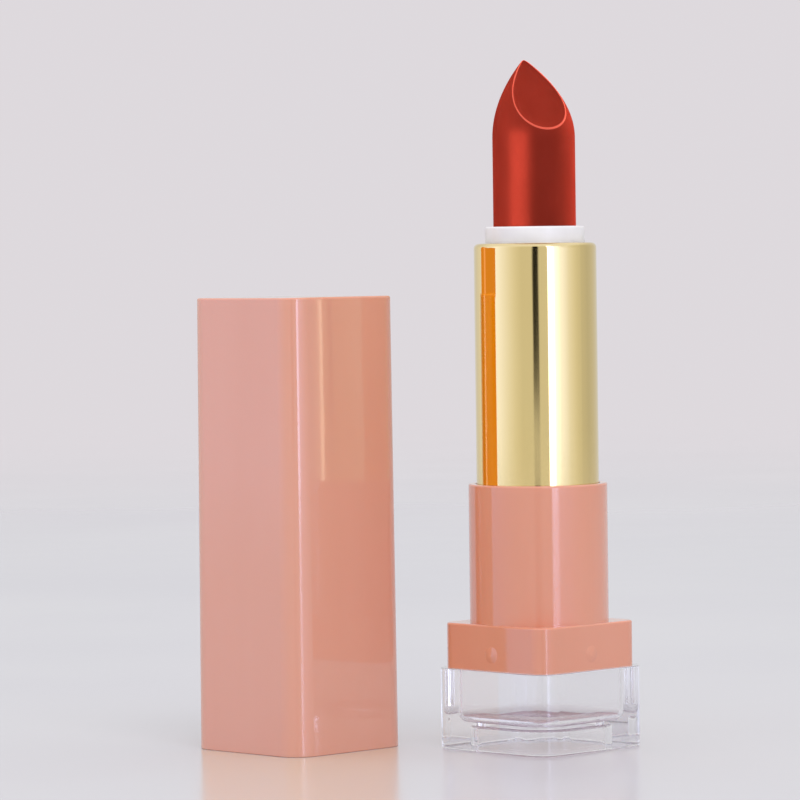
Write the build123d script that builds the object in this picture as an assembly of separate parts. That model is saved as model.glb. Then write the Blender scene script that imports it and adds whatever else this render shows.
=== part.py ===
from build123d import *

import math
import os

# Square lipstick case with a clear block base and a twist-up bullet, in millimetres.
#
# The case stands at the origin, opened, with its bullet wound up; the cap stands beside it on its open
# end. +Z is the case's axis, and the four flats of the square base face +X, -X, +Y and -Y.
#
# Bodies that move:
#   case_base     base_block, collar, slotted_tube, friction_ring
#   turning_tube  outer_shell, spiral_sleeve   turns about Z in the collar
#   carrier       cup, bullet                  rises as the tube turns
#   cap           cap                          lifts off

# ---- driving dimensions ------------------------------------------------------------------------

bullet_diameter = 12.1  # the trade's standard bullet, which sets the scale of everything else

base_side = 22.5
base_corner = 3.4
base_height = 11.85

cap_height = 66.2
cap_draft = 0.28  # degrees on each outer face
cap_place = (-28.0, -22.0)  # where the cap stands beside the case

plate_side = 20.5
plate_corner = 2.4
plate_height = 6.6

collar_diameter = 20.3
collar_height = 20.2  # from the plate to the collar's rim

shell_diameter = 17.9
shell_wall = 0.4
shell_exposed = 35.0  # from the collar's rim to the shell's own

cup_diameter = 14.5
cup_height = 13.0
cup_proud = 2.4  # how far the cup stands above the shell when wound up

travel = 27.0  # of the cup, from wound down to wound up
turns = 1.5  # of the shell over that travel

# ---- clearances --------------------------------------------------------------------------------

running_gap = 0.1  # between plastic parts that turn or slide on each other
shell_gap = 0.15  # round the shell, in the collar
fixed_gap = 0.05  # between parts that are pushed or glued together
end_gap = 0.15  # along the axis, between parts that turn on each other
pin_gap = 0.15  # round a drive pin, in its slots
cap_gap = 0.1  # between the cap and the plate
ring_gap = 0.01  # round the rubber ring, which only just touches the sleeve
tolerance = 0.001  # for finding an edge by its height
past = 1.0  # how far a cutter runs past the wall that it cuts

# ---- heights, worked out from the dimensions above ---------------------------------------------

plate_top = base_height + plate_height
collar_top = plate_top + collar_height
shell_top = collar_top + shell_exposed
cup_top = shell_top + cup_proud
cup_bottom = cup_top - cup_height

# ---- radii of the nested tubes, from the outside in --------------------------------------------

shell_radius = shell_diameter / 2
shell_bore = shell_radius - shell_wall
sleeve_radius = shell_bore - fixed_gap
sleeve_wall = 0.57
sleeve_bore = sleeve_radius - sleeve_wall
tube_radius = sleeve_bore - running_gap
cup_radius = cup_diameter / 2
tube_bore = cup_radius + running_gap
bullet_radius = bullet_diameter / 2

# ---- the seat of the slotted tube in the collar ------------------------------------------------

socket_depth = 8.0  # below the shoulder
shoulder_height = 10.2  # above the clear base
shoulder = base_height + shoulder_height  # the tube's flange rests here
socket_floor = shoulder - socket_depth
flange_height = 1.0
foot_radius = 7.5
foot_ribs = 8
rib_width = 1.6
rib_rise = 0.5

# ---- drive pins and the slots that they run in -------------------------------------------------

pin_radius = 0.9
pin_rise = 2.0  # from the cup's bottom to the pins' middle
pin_height = cup_bottom + pin_rise  # wound up
slot_half_width = pin_radius + pin_gap
pin_reach = sleeve_radius - fixed_gap

tube_below_rim = 1.0  # from the shell's rim to the tube's end
sleeve_below_rim = 1.7
sleeve_bottom = shoulder + flange_height + end_gap
sleeve_top = shell_top - sleeve_below_rim
tube_top = shell_top - tube_below_rim


def cylinder(radius, low, high):
    """A solid cylinder on the case's axis between two heights."""
    return Pos(0, 0, low) * Cylinder(radius, high - low, align=(Align.CENTER, Align.CENTER, Align.MIN))


def ring(outer, inner, low, high):
    """A tube on the case's axis between two heights."""
    return cylinder(outer, low, high) - cylinder(inner, low, high)


def square_block(side, corner, low, high, draft=0.0):
    """A square block with rounded upright edges, which narrows upwards by its draft in degrees."""
    outline = Pos(0, 0, low) * RectangleRounded(side, side, corner)
    return extrude(outline, high - low, taper=draft)


def on_four_sides(shape):
    """Copies of a shape that stands on the +X side, one for each side of the square."""
    return [Rot(0, 0, 90 * side) * shape for side in range(4)]


def edges_at(shape, height):
    """The edges of a shape that lie at one height."""
    return shape.edges().filter_by_position(Axis.Z, height - tolerance, height + tolerance)


# ---- clear base --------------------------------------------------------------------------------

cavity_side = 16.2
cavity_corner = 1.7
cavity_floor = 3.95
cavity_floor_radius = 1.6
pocket_side = 14.1
pocket_corner = 3.7
pocket_height = 3.5
pocket_edge_radius = 0.5
base_foot_radius = 0.4
base_rim_radius = 0.15


def base_block():
    """Thick clear block: a square cavity under the collar's plate, and a shallow pocket underneath."""
    block = square_block(base_side, base_corner, 0, base_height)
    block = fillet(edges_at(block, 0), base_foot_radius)
    block = fillet(edges_at(block, base_height), base_rim_radius)
    cavity = square_block(cavity_side, cavity_corner, cavity_floor, base_height)
    cavity = fillet(edges_at(cavity, cavity_floor), cavity_floor_radius)
    pocket = square_block(pocket_side, pocket_corner, 0, pocket_height)
    pocket = fillet(edges_at(pocket, pocket_height), pocket_edge_radius)
    return block - cavity - pocket


# ---- collar ------------------------------------------------------------------------------------

lip_height = 0.35
nub_radius = 1.2
nub_rise = 0.16
nub_root = 0.3  # from the bump's top to its flat back, inside the plate
nub_height = base_height + 2.3  # of the bump's middle
plate_edge_radius = 0.3
collar_rim_radius = 0.3


def nub(rise):
    """A low round bump on the +X face of the plate, which the cap's dimple clicks over."""
    ball_radius = (nub_radius**2 + rise**2) / (2 * rise)
    latitude = math.degrees(math.asin(1 - nub_root / ball_radius))
    top_at_origin = (Align.CENTER, Align.CENTER, Align.MAX)
    dome = Sphere(ball_radius, arc_size1=latitude, align=top_at_origin)
    return Pos(plate_side / 2 + rise, 0, nub_height) * Rot(0, 90, 0) * dome


def collar():
    """Square plate and round collar in one moulding, with the sockets for the shell and the tube."""
    plate = square_block(plate_side, plate_corner, base_height, plate_top)
    plate = fillet(edges_at(plate, plate_top), plate_edge_radius)
    neck = cylinder(collar_diameter / 2, base_height, collar_top)
    neck = fillet(edges_at(neck, collar_top), collar_rim_radius)
    lip_side = cavity_side - 2 * fixed_gap
    lip = square_block(lip_side, cavity_corner, base_height - lip_height, base_height)
    body = plate + neck + lip
    for bump in on_four_sides(nub(nub_rise)):
        body += bump
    body -= cylinder(shell_radius + shell_gap, shoulder, collar_top)
    body -= cylinder(foot_radius + fixed_gap, socket_floor, shoulder)
    for groove in foot_splines(fixed_gap):
        body -= groove
    return body


# ---- twist mechanism ---------------------------------------------------------------------------

tube_floor = 1.2
tube_foot_bore = 6.3
tube_foot_length = 9.0  # the wall is thick for this far above the shoulder
tube_foot_top = shoulder + tube_foot_length
bead_rise = 0.35
ring_above_flange = 2.5
ring_groove_height = shoulder + flange_height + ring_above_flange
ring_section = 1.0
ring_groove_depth = 1.02


def foot_splines(gap):
    """Upright ribs round the tube's foot, or with a gap the grooves that they push into."""
    reach = foot_radius + rib_rise + gap
    rib = Pos(reach / 2, 0, (socket_floor + shoulder) / 2) * Box(
        reach, rib_width + 2 * gap, shoulder - socket_floor
    )
    core = cylinder(foot_radius - past, socket_floor, shoulder)
    return [Rot(0, 0, 360 / foot_ribs * i) * rib - core for i in range(foot_ribs)]


def upright_slots():
    """The pair of slots that let the cup's pins rise and stop them turning."""
    low = pin_height - travel
    slot = Rot(0, 90, 0) * SlotCenterToCenter(travel, 2 * slot_half_width)
    return extrude(Pos(0, 0, (low + pin_height) / 2) * slot, tube_radius + past, both=True)


def slotted_tube():
    """Fixed inner tube: splined foot, flange, ring groove, two upright slots and a snap bead on top."""
    body = cylinder(tube_radius, shoulder, tube_top)
    body += cylinder(foot_radius, socket_floor, shoulder)
    for rib in foot_splines(0):
        body += rib
    body += cylinder(shell_radius - fixed_gap, shoulder, shoulder + flange_height)
    bead_low = sleeve_top + end_gap
    bead_middle = (bead_low + tube_top) / 2
    bead = Plane.XZ * Polyline(
        (tube_bore, bead_low),
        (tube_radius, bead_low),
        (tube_radius + bead_rise, bead_middle),
        (tube_radius, tube_top),
        (tube_bore, tube_top),
        close=True,
    )
    body += revolve(make_face(bead), Axis.Z)
    body -= cylinder(tube_foot_bore, socket_floor + tube_floor, tube_foot_top)
    body -= cylinder(tube_bore, tube_foot_top, tube_top)
    groove_low = ring_groove_height - ring_section / 2
    groove_radius = tube_radius - ring_groove_depth
    body -= ring(tube_radius + past, groove_radius, groove_low, groove_low + ring_section)
    return body - upright_slots()


def friction_ring():
    """Rubber ring in the tube's groove, which drags on the sleeve and holds the bullet where it is left."""
    section = ring_section / 2 - ring_gap
    return Pos(0, 0, ring_groove_height) * Torus(sleeve_bore - ring_gap - section, section)


def spiral_slot():
    """Cutters for one left-hand helical slot through the sleeve, with round ends for a drive pin."""
    low = pin_height - travel
    middle = (sleeve_bore + sleeve_radius) / 2
    path = Pos(0, 0, low) * Helix(travel / turns, travel, middle, lefthand=True)
    start = Plane(path @ 0, x_dir=(1, 0, 0), z_dir=path % 0)
    depth = 3 * sleeve_wall  # well past both faces of the wall
    groove = sweep(start * Rectangle(depth, 2 * slot_half_width), path=path, is_frenet=True)
    end = Pos(middle, 0, 0) * Rot(0, 90, 0) * Cylinder(slot_half_width, depth)
    low_end = Pos(0, 0, low) * end
    high_end = Rot(0, 0, -360 * turns) * Pos(0, 0, pin_height) * end
    return [groove, low_end, high_end]


def spiral_sleeve():
    """Sleeve fixed inside the shell, with two helical slots that drive the cup's pins up and down."""
    body = ring(sleeve_radius, sleeve_bore, sleeve_bottom, sleeve_top)
    for angle in (0, 180):
        for cutter in spiral_slot():
            body -= Rot(0, 0, angle) * cutter
    return body


shell_lip_radius = 7.6  # the hole in the rolled rim
shell_rim_radius = 0.75
shell_foot_gap = 0.3


def outer_shell():
    """Thin metal tube with its rim rolled inwards over the mechanism."""
    bottom = shoulder + flange_height + shell_foot_gap
    body = cylinder(shell_radius, bottom, shell_top)
    body = fillet(edges_at(body, shell_top), shell_rim_radius)
    core = cylinder(shell_bore, bottom, shell_top - shell_wall)
    core = fillet(edges_at(core, shell_top - shell_wall), shell_rim_radius - shell_wall)
    body -= core
    body -= cylinder(shell_lip_radius, shell_top - shell_wall, shell_top)
    return body


# ---- cup and bullet ----------------------------------------------------------------------------

cup_socket_depth = 9.5
cup_floor = 1.4
cup_rim_radius = 0.25
cup_lower_bore = 5.2


def cup():
    """Carrier with the bullet's socket above, a hollow below and two pins that reach into the slots."""
    body = cylinder(cup_radius, cup_bottom, cup_top)
    body = fillet(edges_at(body, cup_top), cup_rim_radius)
    socket_bottom = cup_top - cup_socket_depth
    body -= cylinder(bullet_radius, socket_bottom, cup_top)
    pins = Pos(0, 0, pin_height) * Rot(0, 90, 0) * Cylinder(pin_radius, 2 * pin_reach)
    body += pins
    body -= cylinder(cup_lower_bore, cup_bottom, socket_bottom - cup_floor)
    return body


ogive_start = 12.85  # above the cup's rim, where the bullet starts to narrow
ogive_rise = 11.75
ogive_lean = 3.65  # how far the point leans away from the slanted face
ogive_stations = (0, 0.25, 0.5, 0.7, 0.85, 0.94, 0.99)  # shares of the rise, lofted through
slant_low = 14.05  # above the cup's rim, the foot of the slanted face
slant_angle = 47.0
slant_facing = -26.0  # degrees about Z from +X, the way the slanted face looks
bullet_seat_gap = 0.03


def bullet():
    """Wax bullet: a round stick whose leaning point is cut by a slanted plane."""
    seat = cup_top - cup_socket_depth + bullet_seat_gap
    ogive_low = cup_top + ogive_start
    stick_radius = bullet_radius - bullet_seat_gap
    stick = cylinder(stick_radius, seat, ogive_low)
    sections = []
    for share in ogive_stations:
        middle = Pos(-ogive_lean * share**2, 0, ogive_low + ogive_rise * share)
        sections.append(middle * Circle(stick_radius * (1 - share**2)))
    body = stick + loft(sections)
    foot_share = (slant_low - ogive_start) / ogive_rise
    foot = Vector(stick_radius * (1 - foot_share**2), 0, cup_top + slant_low)
    tilt = math.radians(slant_angle)
    slant = Plane(foot, x_dir=(0, 1, 0), z_dir=(math.sin(tilt), 0, math.cos(tilt)))
    body = split(body, bisect_by=slant, keep=Keep.BOTTOM)
    return Rot(0, 0, slant_facing) * body


# ---- cap ---------------------------------------------------------------------------------------

cap_roof = 1.2
cap_top_edge_radius = 0.3
cap_mouth_edge_radius = 0.15
cap_inner_side = plate_side + 2 * cap_gap
cap_inner_corner = plate_corner + cap_gap
dimple_rise = 0.2


def cap():
    """Square drafted cap, standing on its mouth; four dimples inside click over the plate's nubs."""
    body = square_block(base_side, base_corner, 0, cap_height, cap_draft)
    body = fillet(edges_at(body, cap_height), cap_top_edge_radius)
    body = fillet(edges_at(body, 0), cap_mouth_edge_radius)
    body -= square_block(cap_inner_side, cap_inner_corner, 0, cap_height - cap_roof, cap_draft)
    dimple = Pos(cap_gap, 0, -base_height) * nub(dimple_rise)
    for hollow in on_four_sides(dimple):
        body -= hollow
    return Pos(cap_place[0], cap_place[1], 0) * body


# ---- output ------------------------------------------------------------------------------------

SUBPARTS = {
    "base_block": base_block,
    "collar": collar,
    "slotted_tube": slotted_tube,
    "friction_ring": friction_ring,
    "spiral_sleeve": spiral_sleeve,
    "outer_shell": outer_shell,
    "cup": cup,
    "bullet": bullet,
    "cap": cap,
}

os.makedirs("parts", exist_ok=True)
for name, make in SUBPARTS.items():
    export_step(make(), f"parts/{name}.step")
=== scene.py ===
import math

import bmesh
import bpy
from mathutils import Matrix, Vector


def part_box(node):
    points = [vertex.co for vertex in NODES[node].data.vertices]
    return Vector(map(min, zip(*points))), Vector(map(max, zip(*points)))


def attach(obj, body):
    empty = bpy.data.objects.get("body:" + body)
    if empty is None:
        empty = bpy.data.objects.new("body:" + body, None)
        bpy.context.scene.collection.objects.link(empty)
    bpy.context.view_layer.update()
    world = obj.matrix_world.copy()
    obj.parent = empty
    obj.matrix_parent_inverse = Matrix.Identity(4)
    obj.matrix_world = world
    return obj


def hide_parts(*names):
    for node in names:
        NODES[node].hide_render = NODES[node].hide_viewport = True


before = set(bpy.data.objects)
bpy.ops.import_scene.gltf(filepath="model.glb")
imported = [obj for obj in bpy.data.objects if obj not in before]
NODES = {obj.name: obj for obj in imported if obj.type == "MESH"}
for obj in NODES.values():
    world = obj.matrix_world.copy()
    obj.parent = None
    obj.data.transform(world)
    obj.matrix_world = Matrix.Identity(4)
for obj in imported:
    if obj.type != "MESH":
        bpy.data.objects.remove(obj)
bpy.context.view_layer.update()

MM = 0.001
SCENE = bpy.context.scene

# ---- camera ------------------------------------------------------------------------------------

CAMERA_AZIMUTH = 44.9  # degrees; 0 looks along +Y
CAMERA_PITCH = 1.87  # degrees that it looks down
CAMERA_ROLL = -0.75
CAMERA_DISTANCE = 671.6 * MM
CAMERA_LENS = 207.2  # mm
CAMERA_SENSOR = 36  # mm wide
CAMERA_CLIP = (0.01, 50)  # metres, the nearest and the furthest that it sees
LOOK_HEIGHT = 51.0 * MM
LOOK_LEFT = 19.95 * MM  # of the case's axis, towards the cap


def add_camera():
    """A long lens just above the level of the collar, with the case on the right and the cap on the left."""
    azimuth = math.radians(CAMERA_AZIMUTH)
    pitch = math.radians(CAMERA_PITCH)
    level = Vector((math.sin(azimuth), -math.cos(azimuth), 0))
    back = level * math.cos(pitch) + Vector((0, 0, math.sin(pitch)))
    right = Vector((math.cos(azimuth), math.sin(azimuth), 0))
    target = Vector((0, 0, LOOK_HEIGHT)) - right * LOOK_LEFT
    data = bpy.data.cameras.new("camera")
    data.sensor_width = CAMERA_SENSOR
    data.lens = CAMERA_LENS
    data.clip_start, data.clip_end = CAMERA_CLIP
    camera = bpy.data.objects.new("camera", data)
    SCENE.collection.objects.link(camera)
    turn = (-back).to_track_quat("-Z", "Y").to_matrix().to_4x4()
    roll = Matrix.Rotation(math.radians(CAMERA_ROLL), 4, "Z")
    camera.matrix_world = Matrix.Translation(target + back * CAMERA_DISTANCE) @ turn @ roll
    SCENE.camera = camera


# ---- helpers -----------------------------------------------------------------------------------

NOISE_RANGE = (0.3, 0.7)  # where nearly all of a noise's values lie


class Nodes:
    """Short calls for adding and linking the nodes of one tree."""

    def __init__(self, tree):
        self.tree = tree
        tree.nodes.clear()

    def add(self, kind, inputs=None, **settings):
        node = self.tree.nodes.new(kind)
        for key, value in settings.items():
            setattr(node, key, value)
        for key, value in (inputs or {}).items():
            if isinstance(value, bpy.types.NodeSocket):
                self.tree.links.new(value, node.inputs[key])
            else:
                node.inputs[key].default_value = value
        return node

    def math(self, operation, first, second=0.0, third=0.0):
        inputs = {0: first, 1: second}
        if operation in ("MULTIPLY_ADD", "COMPARE"):
            inputs[2] = third
        return self.add("ShaderNodeMath", inputs, operation=operation).outputs[0]

    def noise(self, scale, stretch=(1, 1, 1), detail=2, seed=0):
        """Noise in the object's frame, of so many features a metre, times the stretch along each axis."""
        place = self.add("ShaderNodeTexCoord").outputs["Object"]
        place = self.add("ShaderNodeMapping", {0: place, "Location": (seed,) * 3, "Scale": stretch})
        inputs = {"Vector": place.outputs[0], "Scale": scale, "Detail": detail}
        return self.add("ShaderNodeTexNoise", inputs).outputs["Fac"]

    def spread(self, value, low, high):
        """Noise stretched from its usual range onto another."""
        inputs = {"Value": value, "To Min": low, "To Max": high}
        inputs["From Min"], inputs["From Max"] = NOISE_RANGE
        return self.add("ShaderNodeMapRange", inputs).outputs[0]

    def ease(self, value, low, high):
        """0 below the low value and 1 above the high one, with a smooth rise between them."""
        inputs = {"Value": value, "From Min": low, "From Max": high}
        return self.add("ShaderNodeMapRange", inputs, interpolation_type="SMOOTHSTEP").outputs[0]

    def blend(self, share, first, second):
        """The first colour, with a share of the second. The Mix node's colours are its inputs 6 and 7."""
        inputs = {0: share, 6: first, 7: second}
        return self.add("ShaderNodeMix", inputs, data_type="RGBA").outputs[2]

    def within(self, half_side, low, high):
        """1 inside an upright square prism about the case's axis, and 0 outside it."""
        place = self.add("ShaderNodeTexCoord").outputs["Object"]
        across, along, up = self.add("ShaderNodeSeparateXYZ", {0: place}).outputs
        inside = self.math("COMPARE", up, (low + high) / 2, (high - low) / 2)
        for value in (across, along):
            inside = self.math("MULTIPLY", inside, self.math("COMPARE", value, 0.0, half_side))
        return inside

    def bump(self, height, distance):
        return self.add("ShaderNodeBump", {"Height": height, "Distance": distance}).outputs[0]

    def mix_shaders(self, share, first, second):
        inputs = {0: share, 1: first.outputs[0], 2: second.outputs[0]}
        return self.add("ShaderNodeMixShader", inputs)

    def finish(self, shader, kind="ShaderNodeOutputMaterial"):
        self.add(kind, {"Surface": shader.outputs[0]})


def material(name):
    made = bpy.data.materials.new(name)
    made.use_nodes = True
    return made, Nodes(made.node_tree)


def finish_material(nodes, inputs):
    """A Principled shader with these inputs, on the material's output."""
    nodes.finish(nodes.add("ShaderNodeBsdfPrincipled", inputs))


def add_object(name, shape, finish):
    """Makes an object with one material from a bmesh, and frees the bmesh."""
    mesh = bpy.data.meshes.new(name)
    shape.to_mesh(mesh)
    shape.free()
    mesh.materials.append(finish)
    made = bpy.data.objects.new(name, mesh)
    SCENE.collection.objects.link(made)
    return made


# ---- materials ---------------------------------------------------------------------------------

PINK = (0.74, 0.325, 0.222, 1)
PINK_DEEP = (0.71, 0.300, 0.198, 1)
CAP_PINK = (0.750, 0.360, 0.262, 1)  # the cap is a paler moulding than the collar
CAP_PINK_DEEP = (0.725, 0.338, 0.240, 1)
CAP_PAINTED_REFLECTION = (0.86, 0.33, 0.01, 1)  # painted reflection: the cap's colour, a deeper orange, where a polished surface mirrors it
PINK_PAINTED_PALE = (0.86, 0.83, 0.86, 1)  # painted reflection: a pink's pale colour where the inner faces of the clear base mirror it
GOLD = (0.93, 0.73, 0.33, 1)
GOLD_DEEP = (0.90, 0.69, 0.28, 1)
WAX = (0.165, 0.0160, 0.0092, 1)
WAX_DEEP = (0.143, 0.0138, 0.0078, 1)
# painted highlight: the paler colour of the wax's rim
WAX_RIM_PAINTED_HIGHLIGHT = (0.46, 0.075, 0.048, 1)
CLEAR = (0.990, 0.988, 0.990, 1)
CLEAR_DEEP = (0.968, 0.962, 0.970, 1)
LIT_THROUGH = (0.997, 0.994, 0.997, 1)  # the share of lamps and soft light that each face lets by
MAUVE_PAINTED_REFLECTION = (0.58, 0.46, 0.52, 1)  # painted reflection of the pink plate above, on the floor of the cavity in the clear base
WHITE = (0.86, 0.85, 0.87, 1)
WHITE_DEEP = (0.80, 0.79, 0.82, 1)
RUBBER = (0.62, 0.62, 0.62, 1)
RUBBER_DEEP = (0.52, 0.52, 0.53, 1)

ONCE = 0.5  # a ray's depth is more than this when it has been mirrored, or let through, at least once
PINK_GRAIN = 0.02  # the share of the fine grain in the relief of the pink plastic
WAX_GRAIN = 0.5  # and in the wax's
WAX_RIM_SHINE = -0.22  # added to the wax's roughness on its rim


def pink_plastic(name, shade, deep_shade, painted_reflection_shade):
    """Glossy moulded plastic, with faint flow streaks and the slight unevenness of a moulded face.

    Its colour is a painted reflection where polished surfaces mirror it, and painted pale inside the clear
    base.
    """
    made, n = material(name)
    flow = n.noise(60, stretch=(1, 1, 0.25), detail=3)
    sink = n.noise(35, stretch=(1, 1, 0.5), detail=1, seed=7)
    fine = n.noise(1400, seed=3)
    surface = n.math("MULTIPLY_ADD", fine, PINK_GRAIN, sink)
    ray = n.add("ShaderNodeLightPath").outputs
    through = n.math("GREATER_THAN", ray["Transmission Depth"], ONCE)
    mirrored = n.math("MULTIPLY", ray["Is Glossy Ray"], n.math("SUBTRACT", 1.0, through))
    turned = n.math("MULTIPLY", through, n.math("GREATER_THAN", ray["Glossy Depth"], ONCE))
    colour = n.blend(n.spread(flow, 0, 1), shade, deep_shade)
    # painted reflection: rays that a polished surface mirrors see the given reflection colour
    colour = n.blend(mirrored, colour, painted_reflection_shade)
    finish_material(
        n,
        {
            # painted reflection: seen by a turn inside the clear base, the pink is painted pale
            "Base Color": n.blend(turned, colour, PINK_PAINTED_PALE),
            "Roughness": n.spread(fine, 0.05, 0.09),
            "Normal": n.bump(surface, 0.05 * MM),
            "IOR": 1.5,
            "Coat Weight": 0.4,
            "Coat Roughness": 0.02,
            "Subsurface Weight": 0.12,
            "Subsurface Radius": (1.0, 0.35, 0.2),
            "Subsurface Scale": 1.2 * MM,
        },
    )
    return made


def gold():
    """Polished gold metal, with the faint upright lines that drawing leaves."""
    made, n = material("gold")
    drawn = n.noise(700, stretch=(1, 1, 0.02), detail=3)
    film = n.noise(90, stretch=(1, 1, 0.4), seed=5)
    finish_material(
        n,
        {
            "Base Color": n.blend(n.spread(film, 0, 0.5), GOLD, GOLD_DEEP),
            "Metallic": 1.0,
            "Roughness": n.spread(drawn, 0.03, 0.08),
            "Normal": n.bump(drawn, 0.002 * MM),
            "Coat Weight": 0.4,
            "Coat Roughness": 0.03,
        },
    )
    return made


WEB_REACH = 0.73  # of the block's half side, just past the cavity's walls
WEB_LOW = 0.315  # of the block's height, between the pocket's top and the cavity's floor
WEB_HIGH = 0.372  # just over the cavity's floor
WEB_FROST = (0.25, 0.9)  # how far it is frosted, from its clearest streaks to its dullest


def clear_plastic():
    """Thick clear plastic, a little lavender and faintly wavy, that lets lamps and soft light through.

    The web between its pocket and its cavity is partly frosted, and painted mauve for the pink above it.
    """
    made, n = material("clear_plastic")
    wave = n.noise(120, stretch=(1, 1, 0.6), detail=1, seed=2)
    streak = n.noise(420, stretch=(1, 0.25, 1), seed=6)
    tint = n.blend(n.spread(wave, 0, 1), CLEAR, CLEAR_DEEP)
    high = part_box("base_block")[1]
    web = n.within(high.x * WEB_REACH, high.z * WEB_LOW, high.z * WEB_HIGH)
    frost = n.math("MULTIPLY", web, n.spread(streak, *WEB_FROST))
    # painted reflection: the web is tinted mauve for the pink light from above
    tint = n.blend(web, tint, MAUVE_PAINTED_REFLECTION)
    inputs = {
        "Base Color": tint,
        "Roughness": 0.015,
        "IOR": 1.5,
        "Transmission Weight": n.math("SUBTRACT", 1.0, frost),
        "Normal": n.bump(wave, 0.03 * MM),
    }
    solid = n.add("ShaderNodeBsdfPrincipled", inputs)
    lit_through = n.add("ShaderNodeBsdfTransparent", {"Color": LIT_THROUGH})
    ray = n.add("ShaderNodeLightPath").outputs
    light = n.math("MAXIMUM", ray["Is Shadow Ray"], ray["Is Diffuse Ray"])
    n.finish(n.mix_shaders(light, solid, lit_through))
    return made


def white_plastic():
    """Slightly see-through white plastic with a satin moulded surface."""
    made, n = material("white_plastic")
    cloud = n.noise(260)
    grain = n.noise(3000, seed=4)
    finish_material(
        n,
        {
            "Base Color": n.blend(n.spread(cloud, 0, 1), WHITE, WHITE_DEEP),
            "Roughness": n.spread(grain, 0.28, 0.40),
            "Normal": n.bump(grain, 0.006 * MM),
            "Subsurface Weight": 0.3,
            "Subsurface Radius": (1.0, 1.0, 1.0),
            "Subsurface Scale": 1.5 * MM,
        },
    )
    return made


def wax():
    """Red wax: satin, with fine upright moulding lines and a shinier rim, painted paler as a highlight."""
    made, n = material("wax")
    cloud = n.noise(300, stretch=(1, 1, 0.5), detail=3)
    lines = n.noise(900, stretch=(1, 1, 0.04), seed=6)
    grain = n.noise(4500, seed=9)
    surface = n.math("MULTIPLY_ADD", grain, WAX_GRAIN, lines)
    rim = n.add("ShaderNodeAttribute", attribute_name="rim").outputs["Fac"]
    finish_material(
        n,
        {
            # painted highlight: the rim takes a paler colour
            "Base Color": n.blend(rim, n.blend(n.spread(cloud, 0, 1), WAX, WAX_DEEP), WAX_RIM_PAINTED_HIGHLIGHT),
            "Roughness": n.math("MULTIPLY_ADD", rim, WAX_RIM_SHINE, n.spread(grain, 0.38, 0.48)),
            "Normal": n.bump(surface, 0.008 * MM),
            "Metallic": 0.14,  # the satin sheen of pigmented wax takes the wax's own colour
            "Specular IOR Level": 0.0,
            "Specular Tint": (1.0, 0.09, 0.05, 1),
            "Subsurface Weight": 0.15,
            "Subsurface Radius": (1.0, 0.2, 0.1),
            "Subsurface Scale": 0.8 * MM,
        },
    )
    return made


def silicone():
    """Matt grey rubber."""
    made, n = material("silicone")
    grain = n.noise(2500)
    finish_material(
        n,
        {
            "Base Color": n.blend(n.spread(grain, 0, 1), RUBBER, RUBBER_DEEP),
            "Roughness": n.spread(grain, 0.55, 0.7),
            "Normal": n.bump(grain, 0.01 * MM),
        },
    )
    return made


def dress_nodes():
    """Gives each CAD node its material."""
    white = white_plastic()
    finishes = {
        "cap": pink_plastic("cap_pink", CAP_PINK, CAP_PINK_DEEP, CAP_PAINTED_REFLECTION),
        "collar": pink_plastic("collar_pink", PINK, PINK_DEEP, PINK),
        "base_block": clear_plastic(),
        "outer_shell": gold(),
        "cup": white,
        "slotted_tube": white,
        "spiral_sleeve": white,
        "friction_ring": silicone(),
    }
    for name, finish in finishes.items():
        slots = NODES[name].material_slots
        for slot in slots:
            slot.material = finish
        if not slots:
            NODES[name].data.materials.append(finish)


# ---- bullet ------------------------------------------------------------------------------------

BULLET_SIDES = 144
STICK_RINGS = 10
OGIVE_RINGS = 28
FACE_RINGS = 12
OGIVE_START = 12.85 * MM  # above the cup's rim
OGIVE_RISE = 11.75 * MM
OGIVE_LEAN = 3.65 * MM
SLANT_LOW = 14.05 * MM  # above the cup's rim, the foot of the slanted face
SLANT_ANGLE = math.radians(47)
SLANT_FACING = math.radians(-26)
RIM_SOFTNESS = 0.22 * MM
RIM_TURNS = (0.2, 0.4, 0.6, 0.8)  # shares of the way over the rim
FACE_HOLLOW = 0.26 * MM
FACE_DROP = 9  # how steeply the face falls inside the rim
FACE_CROWDING = 1.8  # how closely the face's rings lie near the rim
SMALL_STEP = 0.001  # of the ogive's rise


def ogive_point(radius, start, angle, share):
    """A point of the bullet's leaning upper part, at an angle round it and a share of its rise."""
    wide = radius * (1 - share**2)
    middle = -OGIVE_LEAN * share**2
    return Vector((middle + wide * math.cos(angle), wide * math.sin(angle), start + OGIVE_RISE * share))


def cut_share(radius, start, angle, foot, normal):
    """How far up the ogive the slanted plane cuts it, at one angle round it."""
    share = 0.0
    while share < 1 and (ogive_point(radius, start, angle, share) - foot).dot(normal) < 0:
        share += SMALL_STEP
    below = (ogive_point(radius, start, angle, share - SMALL_STEP) - foot).dot(normal)
    above = (ogive_point(radius, start, angle, share) - foot).dot(normal)
    return share - SMALL_STEP * above / (above - below)


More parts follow.
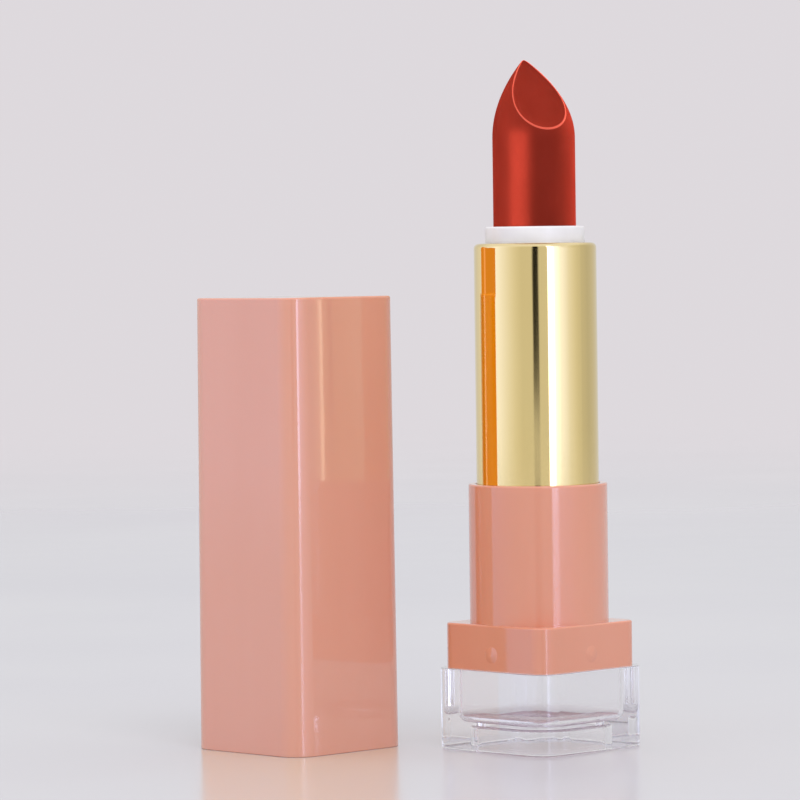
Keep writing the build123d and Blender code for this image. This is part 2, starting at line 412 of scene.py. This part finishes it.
def bullet_rings():
    """Rings of points from the bullet's foot, up its side, over the soft rim and into its hollow face."""
    low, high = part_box("bullet")
    radius = (high.x - low.x) / 2
    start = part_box("cup")[1].z + OGIVE_START
    normal = Vector((math.sin(SLANT_ANGLE), 0, math.cos(SLANT_ANGLE)))
    foot_share = (SLANT_LOW - OGIVE_START) / OGIVE_RISE
    foot = Vector((radius * (1 - foot_share**2), 0, start - OGIVE_START + SLANT_LOW))
    angles = [math.tau * side / BULLET_SIDES for side in range(BULLET_SIDES)]
    cuts = [cut_share(radius, start, angle, foot, normal) for angle in angles]
    rims = [ogive_point(radius, start, angle, cut) for angle, cut in zip(angles, cuts)]
    centre = sum(rims, Vector()) / len(rims)
    rings = []
    for step in range(STICK_RINGS):
        height = low.z + (start - low.z) * step / STICK_RINGS
        rings.append([Vector((radius * math.cos(a), radius * math.sin(a), height)) for a in angles])
    side_ends = [cut - RIM_SOFTNESS / OGIVE_RISE for cut in cuts]
    for step in range(OGIVE_RINGS + 1):
        shares = [end * step / OGIVE_RINGS for end in side_ends]
        rings.append([ogive_point(radius, start, a, share) for a, share in zip(angles, shares)])
    insides = [rim + (centre - rim).normalized() * RIM_SOFTNESS for rim in rims]
    for turn in RIM_TURNS:
        side, rim_part, face = (1 - turn) ** 2, 2 * turn * (1 - turn), turn**2
        ends = zip(rings[STICK_RINGS + OGIVE_RINGS], rims, insides)
        rings.append([a * side + b * rim_part + c * face for a, b, c in ends])
    for step in range(FACE_RINGS):
        reach = 1 - (step / FACE_RINGS) ** FACE_CROWDING
        sink = normal * FACE_HOLLOW * (1 - reach**FACE_DROP)
        rings.append([centre + (inside - centre) * reach - sink for inside in insides])
    return rings, centre - normal * FACE_HOLLOW


def wax_bullet():
    """The bullet as it was moulded: a soft rim round a slightly hollow slanted face."""
    rings, face_middle = bullet_rings()
    shape = bmesh.new()
    loops = [[shape.verts.new(point) for point in ring] for ring in rings]
    for lower, upper in zip(loops, loops[1:]):
        for i in range(BULLET_SIDES):
            j = (i + 1) % BULLET_SIDES
            shape.faces.new((lower[i], lower[j], upper[j], upper[i]))
    shape.faces.new(reversed(loops[0]))
    top = shape.verts.new(face_middle)
    for i in range(BULLET_SIDES):
        shape.faces.new((loops[-1][i], loops[-1][(i + 1) % BULLET_SIDES], top))
    shape.transform(Matrix.Rotation(SLANT_FACING, 4, "Z"))
    for face in shape.faces:
        face.smooth = len(face.verts) <= 4
    piece = add_object("wax_bullet", shape, wax())
    rim_start = STICK_RINGS + OGIVE_RINGS + 1
    rim_end = rim_start + len(RIM_TURNS) - 1
    # marks the rim, where the wax has a painted highlight
    rim = piece.data.attributes.new("rim", "FLOAT", "POINT")
    for i in range(len(loops) * BULLET_SIDES):
        rim.data[i].value = 1.0 if rim_start <= i // BULLET_SIDES <= rim_end else 0.0
    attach(piece, "carrier")
    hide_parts("bullet")
    return piece


# ---- studio ------------------------------------------------------------------------------------

FLOOR_RADIUS = 1.6  # metres
FLOOR_SIDES = 96
FLOOR_FADE = (0.25, 1.3)  # metres from the centre, where the floor gives way to the backdrop
STONE = (0.60, 0.59, 0.63, 1)
STONE_DEEP = (0.57, 0.56, 0.605, 1)
BACKDROP = (0.730, 0.695, 0.725, 1)

# What polished surfaces mirror all round: degrees to the right of the camera, and brightness.
MIRRORED = (
    (-180, 0.72),
    (-150, 0.66),
    (-110, 0.90),
    (-84, 1.12),
    (-65, 0.96),
    (-40, 0.76),
    (-28, 0.68),
    (21, 0.68),
    (22.5, 4.60),
    (31, 4.20),
    (34, 1.70),
    (46, 1.15),
    (63, 0.88),
    (92, 0.62),
    (112, 0.54),
    (180, 0.72),
)
COOL_FROM = (0.66, 1.1)  # bright panels are cooler than dim ones, from the first level to the second
COOL_GREEN = 0.08  # how much is added to them, as a share
COOL_BLUE = 0.52
GAP = -1.6  # degrees to the right of the camera, the dark gap between two panels
GAP_WIDTH = (4.0, 7.0)  # degrees from its middle, where it is all dark and where it ends
GAP_WANDER = 1.5  # degrees that the gap strays to each side as it rises
GAP_RIPPLES = 90  # of its straying, per unit of slope
GAP_FOOT = (-0.038, -0.028)  # the slope at which the gap opens; it is shut below it
SOFT_LIGHT = (0.98, 0.97, 0.98, 1)  # falls on everything
CEILING_LEVEL = 0.88
CEILING = (0.35, 0.8)  # the slope at which the panels give way to the ceiling
THROUGH = (0.755, 0.740, 0.755, 1)  # shows through the clear plastic
SPARKLE = 0.35  # the share of the panels in what shows through it
OVERHEAD = (0.30, 0.26, 0.29, 1)  # shows through it from above, and draws its edges
OVERHEAD_SLOPE = (0.2, 0.7)  # where that begins, and where it is all that shows


def panel_curve(n, degrees):
    """The brightness of MIRRORED at an angle."""
    share = n.math("MULTIPLY_ADD", degrees, 1 / 360, 0.5)
    ramp = n.add("ShaderNodeFloatCurve", {"Value": share})
    brightest = max(level for _, level in MIRRORED)
    curve = ramp.mapping.curves[0]
    points = [((angle + 180) / 360, level / brightest) for angle, level in MIRRORED]
    curve.points[0].location = points[0]
    curve.points[1].location = points[-1]
    for place in points[1:-1]:
        curve.points.new(*place)
    for point in curve.points:
        point.handle_type = "VECTOR"
    ramp.mapping.update()
    return n.math("MULTIPLY", ramp.outputs[0], brightest)


def panels(n, parts):
    """Colour of the mirrored surroundings: upright panels, a dark gap and a pale ceiling."""
    angle = n.math("ARCTAN2", parts[0], n.math("MULTIPLY", parts[1], -1.0))
    degrees = n.math("DEGREES", angle)
    slope = parts[2]
    level = panel_curve(n, degrees)
    ripple = n.add("ShaderNodeTexNoise", {"W": slope, "Scale": GAP_RIPPLES}, noise_dimensions="1D")
    middle = n.spread(ripple.outputs["Fac"], GAP - GAP_WANDER, GAP + GAP_WANDER)
    off = n.math("ABSOLUTE", n.math("SUBTRACT", degrees, middle))
    shut = n.math("MAXIMUM", n.ease(off, *GAP_WIDTH), n.math("SUBTRACT", 1.0, n.ease(slope, *GAP_FOOT)))
    level = n.math("MULTIPLY", level, shut)
    inputs = {0: n.ease(slope, *CEILING), 2: level, 3: CEILING_LEVEL}
    level = n.add("ShaderNodeMix", inputs, data_type="FLOAT").outputs[0]
    cool = n.ease(level, *COOL_FROM)
    green = n.math("MULTIPLY", level, n.math("MULTIPLY_ADD", cool, COOL_GREEN, 1.0))
    blue = n.math("MULTIPLY", level, n.math("MULTIPLY_ADD", cool, COOL_BLUE, 1.0))
    return n.add("ShaderNodeCombineColor", {0: level, 1: green, 2: blue}).outputs[0]


def surroundings():
    """Soft even light, panels for polished surfaces to mirror, and a plain backdrop for the camera."""
    world = bpy.data.worlds.new("studio")
    world.use_nodes = True
    SCENE.world = world
    n = Nodes(world.node_tree)
    way = n.add("ShaderNodeTexCoord").outputs["Generated"]
    turn = {"Vector": way, "Angle": math.radians(-CAMERA_AZIMUTH)}
    turned = n.add("ShaderNodeVectorRotate", turn, rotation_type="Z_AXIS").outputs[0]
    parts = n.add("ShaderNodeSeparateXYZ", {0: turned}).outputs
    ray = n.add("ShaderNodeLightPath").outputs
    mirrored = panels(n, parts)
    colour = n.blend(ray["Is Glossy Ray"], SOFT_LIGHT, mirrored)
    through = n.blend(SPARKLE, THROUGH, mirrored)
    through = n.blend(n.ease(parts[2], *OVERHEAD_SLOPE), through, OVERHEAD)
    colour = n.blend(ray["Is Transmission Ray"], colour, through)
    soft = n.add("ShaderNodeBackground", {"Color": colour})
    plain = n.add("ShaderNodeBackground", {"Color": BACKDROP})
    n.finish(n.mix_shaders(ray["Is Camera Ray"], soft, plain), "ShaderNodeOutputWorld")


def floor_material():
    """Pale polished stone that fades into the backdrop."""
    made, n = material("floor")
    cloud = n.noise(9, detail=3)
    tone = n.blend(n.spread(cloud, 0, 1), STONE, STONE_DEEP)
    stone = n.add(
        "ShaderNodeBsdfPrincipled",
        {"Base Color": tone, "Roughness": n.spread(cloud, 0.16, 0.22), "Specular IOR Level": 0.35},
    )
    place = n.add("ShaderNodeTexCoord").outputs["Object"]
    out = n.add("ShaderNodeVectorMath", {0: place}, operation="LENGTH").outputs["Value"]
    fade = n.add(
        "ShaderNodeMapRange",
        {"Value": out, "From Min": FLOOR_FADE[0], "From Max": FLOOR_FADE[1]},
        interpolation_type="SMOOTHERSTEP",
    ).outputs[0]
    n.finish(n.mix_shaders(fade, stone, n.add("ShaderNodeBsdfTransparent")))
    return made


def add_floor():
    """A round floor at the height on which the case and cap stand."""
    shape = bmesh.new()
    bmesh.ops.create_circle(shape, cap_ends=True, segments=FLOOR_SIDES, radius=FLOOR_RADIUS)
    add_object("floor", shape, floor_material())


CARD_PAINTED_REFLECTION = (0.755, 0.290, 0.038, 1)  # painted reflection: a glow that the gold mirrors in the same orange as the cap below it
CARD_PAINTED_HIGHLIGHT = (0.98, 0.45, 0.22, 1)  # painted highlight: an upright line near its far edge, as on the mirrored cap's corner
CARD_HIGHLIGHT_FROM_EDGE = 4.8 * MM
CARD_HIGHLIGHT_HALF = 0.9 * MM
CARD_OVERLAP = 0.6 * MM  # how far the card reaches down past the cap's top
CARD_INSET = 0.8 * MM  # from the cap's widest, which is at its mouth
CARD_CORNER = 0.6 * MM  # left off at both sides, where the cap's corners turn away


def card_material(highlight_middle):
    """A plain glow on the front, with a brighter upright line as a painted highlight, and nothing on the
    back.
    """
    made, n = material("card")
    place = n.add("ShaderNodeNewGeometry").outputs
    across = n.add("ShaderNodeSeparateXYZ", {0: place["Position"]}).outputs["Y"]
    highlight_line = n.math("COMPARE", across, highlight_middle, CARD_HIGHLIGHT_HALF)
    # painted reflection and painted highlight: the card glows in these colours
    glow = n.add("ShaderNodeEmission", {"Color": n.blend(highlight_line, CARD_PAINTED_REFLECTION, CARD_PAINTED_HIGHLIGHT)})
    n.finish(n.mix_shaders(place["Backfacing"], glow, n.add("ShaderNodeBsdfTransparent")))
    made.cycles.emission_sampling = "NONE"
    return made


def add_card():
    """A glowing card on top of the cap that only reflections see: a painted reflection of the cap.

    It makes the mirrored cap as high as a cap that stands on a clear base of its own.
    """
    low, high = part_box("cap")
    foot, top = high.z - CARD_OVERLAP, high.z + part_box("base_block")[1].z
    near, far = low.y + CARD_CORNER, high.y - CARD_CORNER
    corners = ((near, foot), (far, foot), (far, top), (near, top))
    shape = bmesh.new()
    shape.faces.new([shape.verts.new((high.x - CARD_INSET, y, z)) for y, z in corners])
    card = add_object("card", shape, card_material(high.y - CARD_HIGHLIGHT_FROM_EDGE))
    card.visible_camera = False
    card.visible_diffuse = False
    card.visible_transmission = False
    card.visible_shadow = False


# Degrees to the right of the camera, height, width and height of the lamp itself, power, and distance.
TOP_LAMP = (12, 1.3, (0.8, 0.8), 8.0, 0.9)

# Name, and then as above without the distance, and whether the wax mirrors it or is lit by it.
BULLET_LAMPS = (
    ("bullet_sheen", -45, 0.085, (0.45, 0.17), 10.5, True),
    ("bullet_left", -100, 0.125, (0.25, 0.25), 3.0, False),
    ("bullet_right", 118, 0.125, (0.25, 0.25), 7.2, False),
    ("bullet_face", 40, 1.2, (0.25, 0.25), 14.0, False),
)
BULLET_LAMPS_AWAY = 0.45  # metres


def add_softbox(name, to_right, height, size, power, distance):
    """A lamp that looks at the case."""
    data = bpy.data.lights.new(name, "AREA")
    data.shape = "RECTANGLE"
    data.size, data.size_y = size
    data.energy = power
    lamp = bpy.data.objects.new(name, data)
    SCENE.collection.objects.link(lamp)
    angle = math.radians(CAMERA_AZIMUTH + to_right)
    place = Vector((math.sin(angle) * distance, -math.cos(angle) * distance, height))
    lamp.location = place
    aim = Vector((0, 0, LOOK_HEIGHT)) - place
    lamp.rotation_mode = "QUATERNION"
    lamp.rotation_quaternion = aim.to_track_quat("-Z", "Y")
    return lamp


def light_bullet(bullet):
    """Lamps for the bullet alone, which draw its satin side and its slanted face."""
    group = bpy.data.collections.new("lit_bullet")
    group.objects.link(bullet)
    for name, to_right, height, size, power, mirrored in BULLET_LAMPS:
        lamp = add_softbox(name, to_right, height, size, power, BULLET_LAMPS_AWAY)
        lamp.visible_diffuse = not mirrored
        lamp.visible_glossy = mirrored
        lamp.light_linking.receiver_collection = group


# ---- making it ---------------------------------------------------------------------------------

BOUNCES = 32  # thick clear plastic turns light round inside many times before it comes out
GLOSSY_BOUNCES = 24

SCENE.view_settings.view_transform = "Standard"
add_camera()
surroundings()
add_floor()
add_card()
add_softbox("top", *TOP_LAMP).visible_glossy = False
dress_nodes()
light_bullet(wax_bullet())
SCENE.cycles.max_bounces = BOUNCES
SCENE.cycles.glossy_bounces = GLOSSY_BOUNCES
SCENE.cycles.transmission_bounces = BOUNCES
